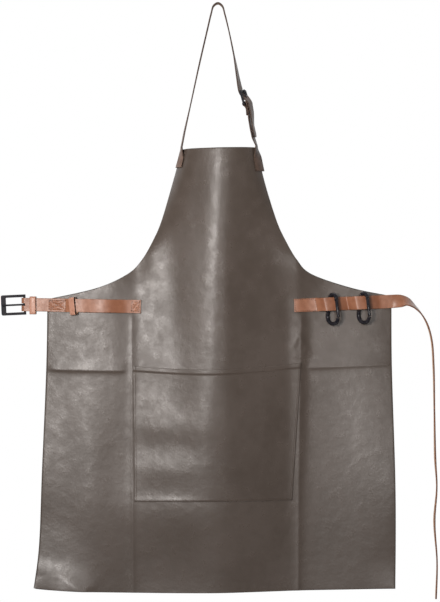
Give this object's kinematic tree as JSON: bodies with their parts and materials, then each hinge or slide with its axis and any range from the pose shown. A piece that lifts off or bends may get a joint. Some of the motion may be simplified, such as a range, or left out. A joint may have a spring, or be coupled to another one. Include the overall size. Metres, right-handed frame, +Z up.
{
  "type": "grill apron",
  "caption": "Full-length leather apron with bib, lap patch pocket, buckled neck strap, open waist buckle, hook loops with snap hooks and a long waist strap, hanging by its neck strap.",
  "frame": {"origin": "underside of the neck strap at its highest point, where the apron hangs", "axes": "+Z up along the apron's length, +X to the viewer's right, +Y out of the apron's back"},
  "size_m": [0.8198, 0.0601, 1.1164],
  "materials": {
    "apron_leather": "matt waxed grain",
    "neck_leather": "matt",
    "tan_leather": "matt",
    "black_metal": "satin black"
  },
  "bodies": {
    "apron": {"apron_panel": "apron_leather", "pocket": "apron_leather", "neck_strap": "neck_leather", "neck_buckle_strap": "neck_leather", "neck_buckle": "black_metal", "waist_buckle_strap": "tan_leather", "keeper_outer": "tan_leather", "keeper_inner": "tan_leather", "waist_strap": "tan_leather"},
    "waist_buckle": {"waist_buckle_frame": "black_metal"},
    "buckle_tongue": {"waist_buckle_tongue": "black_metal"},
    "left_hook": {"hook_left": "black_metal"},
    "left_gate": {"hook_left_gate": "black_metal"},
    "right_hook": {"hook_right": "black_metal"},
    "right_gate": {"hook_right_gate": "black_metal"}
  },
  "joints": [
    {"name": "buckle_swing", "type": "hinge", "parent": "apron", "child": "waist_buckle", "pos_m": [-0.3615, 0.00351, -0.562], "axis": [-0.0698, 0, 0.9976], "range_deg": [-60, 30]},
    {"name": "tongue_swing", "type": "hinge", "parent": "waist_buckle", "child": "buckle_tongue", "pos_m": [-0.3615, 0.00351, -0.562], "axis": [-0.0698, 0, 0.9976], "range_deg": [0, 70]},
    {"name": "hook_left_swing", "type": "hinge", "parent": "apron", "child": "left_hook", "pos_m": [0.215, -0.00553, -0.55121], "axis": [-0.7071, -0.7071, 0], "range_deg": [-2, 8]},
    {"name": "hook_left_gate_swing", "type": "hinge", "parent": "left_hook", "child": "left_gate", "pos_m": [0.22096, -0.01149, -0.55315], "axis": [0.7071, 0.7071, 0], "range_deg": [0, 12], "stiffness_Nm_per_rad": 0.02, "springref_deg": -9.74},
    {"name": "hook_right_swing", "type": "hinge", "parent": "apron", "child": "right_hook", "pos_m": [0.273, -0.00476, -0.54874], "axis": [-0.7071, -0.7071, 0], "range_deg": [-2, 8]},
    {"name": "hook_right_gate_swing", "type": "hinge", "parent": "right_hook", "child": "right_gate", "pos_m": [0.27896, -0.01072, -0.55068], "axis": [0.7071, 0.7071, 0], "range_deg": [0, 12], "stiffness_Nm_per_rad": 0.02, "springref_deg": -9.74}
  ]
}
